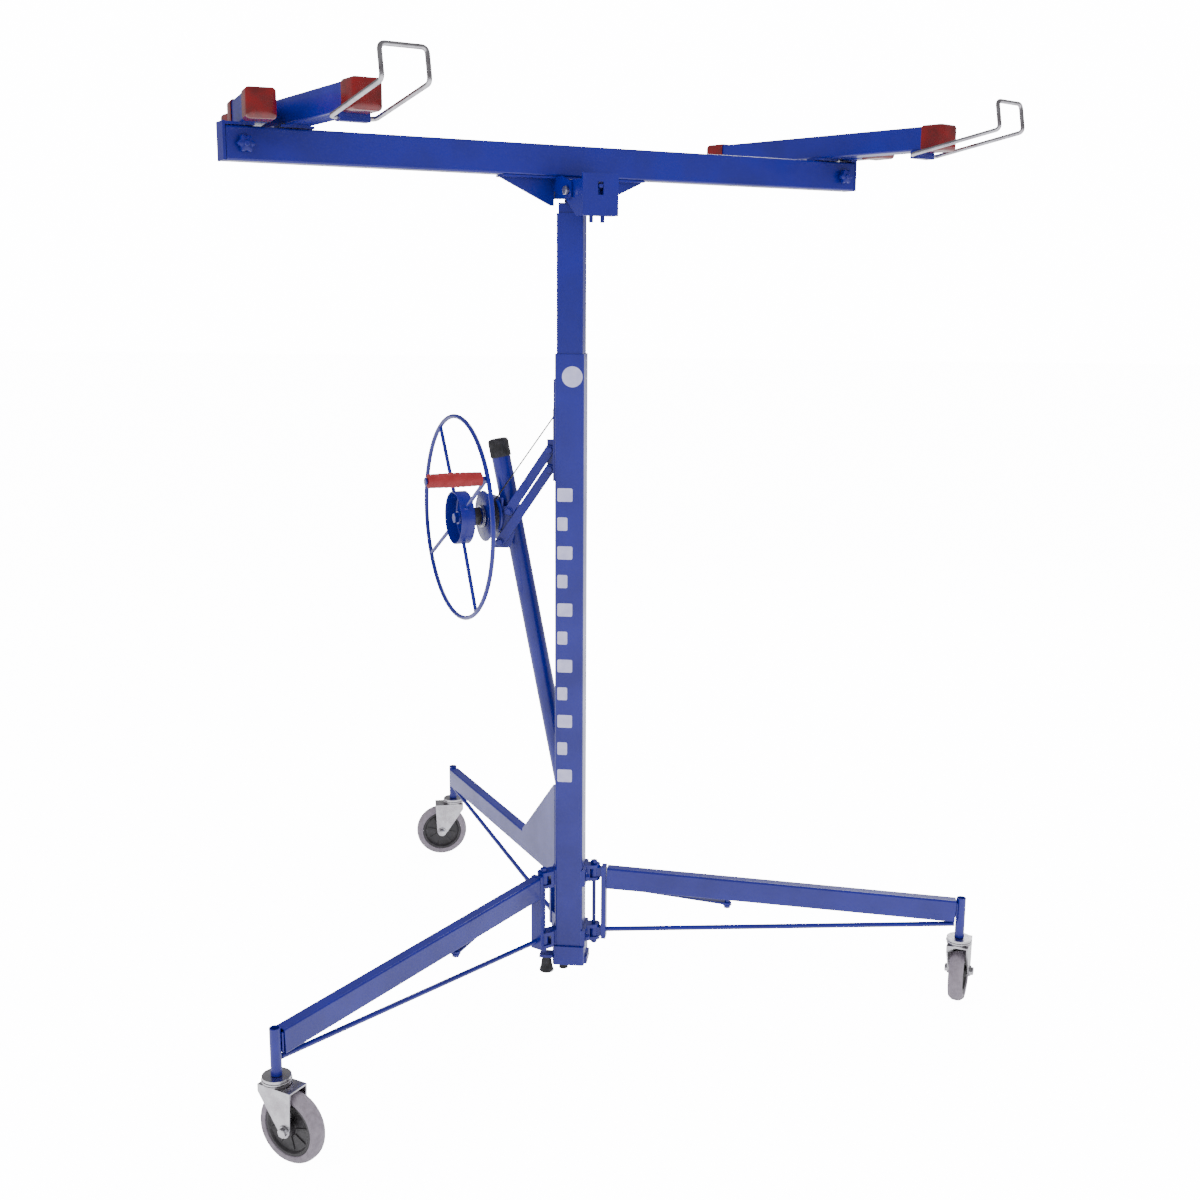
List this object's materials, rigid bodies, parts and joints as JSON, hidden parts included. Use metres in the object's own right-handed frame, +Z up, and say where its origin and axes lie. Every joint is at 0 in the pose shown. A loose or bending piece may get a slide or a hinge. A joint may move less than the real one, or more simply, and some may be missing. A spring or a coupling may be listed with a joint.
{
  "type": "drywall panel lift",
  "caption": "Rolling tripod lift with a telescoping mast, hand-wheel cable winch and a tilting cradle with arms, hooks and sliding outriggers.",
  "frame": {"origin": "middle of the footprint's bounding rectangle, on the floor", "axes": "+Z up the mast; +X along the right-hand folding leg, away from the mast; -Y the side the winch wheel and hooks face"},
  "size_m": [1.4932, 1.4564, 1.7799],
  "materials": {
    "blue_paint": "glossy blue powder coat",
    "red_vinyl": "glossy dipped vinyl",
    "red_grip": "matte moulded grip",
    "black_rubber": "matte moulded rubber",
    "wheel_tread": "satin grey tread compound",
    "black_plastic": "moulded nylon",
    "zinc_steel": "bright zinc plating",
    "wire_rope": "stranded steel rope"
  },
  "bodies": {
    "frame": {"mast_outer": "blue_paint", "foot_socket": "blue_paint", "rubber_foot": "black_rubber", "hub_upper": "blue_paint", "hub_lower": "blue_paint", "hinge_pin_a": "blue_paint", "hinge_pin_b": "blue_paint", "leg_c_beam": "blue_paint", "leg_c_post": "blue_paint", "leg_c_truss": "blue_paint", "post_socket": "blue_paint", "winch_post": "blue_paint", "post_cap": "black_rubber", "mast_bracket": "blue_paint", "brace_front": "blue_paint", "brace_rear": "blue_paint", "winch_cable": "wire_rope", "winch_frame": "blue_paint"},
    "leg_a": {"leg_a_beam": "blue_paint", "leg_a_post": "blue_paint", "leg_a_truss": "blue_paint"},
    "leg_b": {"leg_b_beam": "blue_paint", "leg_b_post": "blue_paint", "leg_b_truss": "blue_paint"},
    "strap_a": {"leg_a_strap": "blue_paint"},
    "strap_b": {"leg_b_strap": "blue_paint"},
    "sheave": {"cable_sheave": "black_plastic"},
    "winch": {"winch_wheel": "blue_paint", "winch_drum": "blue_paint"},
    "grip": {"winch_grip": "red_grip"},
    "mast_middle": {"mast_middle": "blue_paint"},
    "mast_inner": {"mast_inner": "blue_paint"},
    "head": {"head_box": "blue_paint", "tilt_pin": "zinc_steel"},
    "latch": {"tilt_latch": "blue_paint"},
    "cradle": {"crossbeam": "blue_paint", "cradle_saddle": "blue_paint"},
    "arm_left": {"arm_left": "blue_paint", "arm_cap_left_near": "red_vinyl", "arm_cap_left_far": "red_vinyl"},
    "hook_left": {"hook_left": "zinc_steel"},
    "outrigger_left": {"outrigger_left": "blue_paint", "tee_cap_left_near": "red_vinyl", "tee_cap_left_far": "red_vinyl"},
    "arm_right": {"arm_right": "blue_paint", "arm_cap_right_near": "red_vinyl", "arm_cap_right_far": "red_vinyl"},
    "hook_right": {"hook_right": "zinc_steel"},
    "outrigger_right": {"outrigger_right": "blue_paint", "tee_cap_right_near": "red_vinyl", "tee_cap_right_far": "red_vinyl"},
    "caster_a": {"caster_a_fork": "zinc_steel"},
    "wheel_a": {"caster_a_tyre": "wheel_tread", "caster_a_core": "black_plastic"},
    "caster_b": {"caster_b_fork": "zinc_steel"},
    "wheel_b": {"caster_b_tyre": "wheel_tread", "caster_b_core": "black_plastic"},
    "caster_c": {"caster_c_fork": "zinc_steel"},
    "wheel_c": {"caster_c_tyre": "wheel_tread", "caster_c_core": "black_plastic"}
  },
  "joints": [
    {"name": "leg_a_fold", "type": "hinge", "parent": "frame", "child": "leg_a", "pos_m": [-0.14513, -0.03188, 0.18], "axis": [0, 0, 1], "range_deg": [-90, 0]},
    {"name": "leg_b_fold", "type": "hinge", "parent": "frame", "child": "leg_b", "pos_m": [-0.04713, 0.02412, 0.18], "axis": [0, 0, 1], "range_deg": [0, 90]},
    {"name": "strap_a_hinge", "type": "hinge", "parent": "leg_a", "child": "strap_a", "pos_m": [-0.27678, -0.27673, 0.19], "axis": [0, 0, 1], "range_deg": [-12, 0]},
    {"name": "strap_b_hinge", "type": "hinge", "parent": "leg_b", "child": "strap_b", "pos_m": [0.23082, 0.01893, 0.19], "axis": [0, 0, 1], "range_deg": [0, 12]},
    {"name": "caster_a_swivel", "type": "hinge", "parent": "leg_a", "child": "caster_a", "pos_m": [-0.49413, -0.68097, 0.15], "axis": [0, 0, 1], "continuous": true},
    {"name": "wheel_a_roll", "type": "hinge", "parent": "caster_a", "child": "wheel_a", "pos_m": [-0.46559, -0.69308, 0.0635], "axis": [0.3907, 0.9205, 0], "continuous": true},
    {"name": "caster_b_swivel", "type": "hinge", "parent": "leg_b", "child": "caster_b", "pos_m": [0.70287, 0.01012, 0.15], "axis": [0, 0, 1], "continuous": true},
    {"name": "wheel_b_roll", "type": "hinge", "parent": "caster_b", "child": "wheel_b", "pos_m": [0.71089, 0.04006, 0.0635], "axis": [-0.9659, 0.2588, 0], "continuous": true},
    {"name": "caster_c_swivel", "type": "hinge", "parent": "frame", "child": "caster_c", "pos_m": [-0.49413, 0.70121, 0.15], "axis": [0, 0, 1], "continuous": true},
    {"name": "wheel_c_roll", "type": "hinge", "parent": "caster_c", "child": "wheel_c", "pos_m": [-0.52407, 0.69318, 0.0635], "axis": [0.2588, -0.9659, 0], "continuous": true},
    {"name": "mast_middle_lift", "type": "slide", "parent": "frame", "child": "mast_middle", "axis": [0, 0, 1], "range_m": [-0.2, 0.65]},
    {"name": "mast_inner_lift", "type": "slide", "parent": "mast_middle", "child": "mast_inner", "axis": [0, 0, 1], "range_m": [0, 0.65]},
    {"name": "winch_turn", "type": "hinge", "parent": "frame", "child": "winch", "pos_m": [-0.32313, 0.01012, 0.985], "axis": [0.8554, 0.518, 0], "continuous": true},
    {"name": "grip_spin", "type": "hinge", "parent": "winch", "child": "grip", "pos_m": [-0.24461, -0.14077, 1.083], "axis": [0.8554, 0.518, 0], "continuous": true},
    {"name": "sheave_spin", "type": "hinge", "parent": "frame", "child": "sheave", "pos_m": [-0.11013, 0.05812, 1.188], "axis": [0, 1, 0], "continuous": true},
    {"name": "cradle_swivel", "type": "hinge", "parent": "mast_inner", "child": "head", "pos_m": [-0.09513, 0.01012, 1.6], "axis": [0, 0, 1], "continuous": true},
    {"name": "latch_pull", "type": "slide", "parent": "head", "child": "latch", "axis": [0, 0, -1], "range_m": [0, 0.012]},
    {"name": "cradle_tilt", "type": "hinge", "parent": "head", "child": "cradle", "pos_m": [-0.05869, -0.04004, 1.611], "axis": [0.809, 0.5878, 0], "range_deg": [0, 65]},
    {"name": "arm_left_turn", "type": "hinge", "parent": "cradle", "child": "arm_left", "pos_m": [-0.52957, -0.30552, 1.69], "axis": [0, 0, 1], "range_deg": [-8, 1]},
    {"name": "hook_left_fold", "type": "hinge", "parent": "arm_left", "child": "hook_left", "pos_m": [-0.37098, -0.50136, 1.692], "axis": [0.7771, 0.6293, 0], "range_deg": [0, 80]},
    {"name": "outrigger_left_slide", "type": "slide", "parent": "cradle", "child": "outrigger_left", "axis": [-0.809, -0.5878, 0], "range_m": [0, 0.27]},
    {"name": "arm_right_turn", "type": "hinge", "parent": "cradle", "child": "arm_right", "pos_m": [0.38219, 0.35691, 1.69], "axis": [0, 0, 1], "range_deg": [-8, 0.8]},
    {"name": "hook_right_fold", "type": "hinge", "parent": "arm_right", "child": "hook_right", "pos_m": [0.57093, 0.18993, 1.692], "axis": [0.6626, 0.749, 0], "range_deg": [0, 80]},
    {"name": "outrigger_right_slide", "type": "slide", "parent": "cradle", "child": "outrigger_right", "axis": [0.809, 0.5878, 0], "range_m": [0, 0.27]}
  ],
  "couplings": [
    {"joint": "winch_turn", "follows": "mast_middle_lift", "rad_per_m": 31.28},
    {"joint": "sheave_spin", "follows": "mast_middle_lift", "rad_per_m": -49.5}
  ]
}
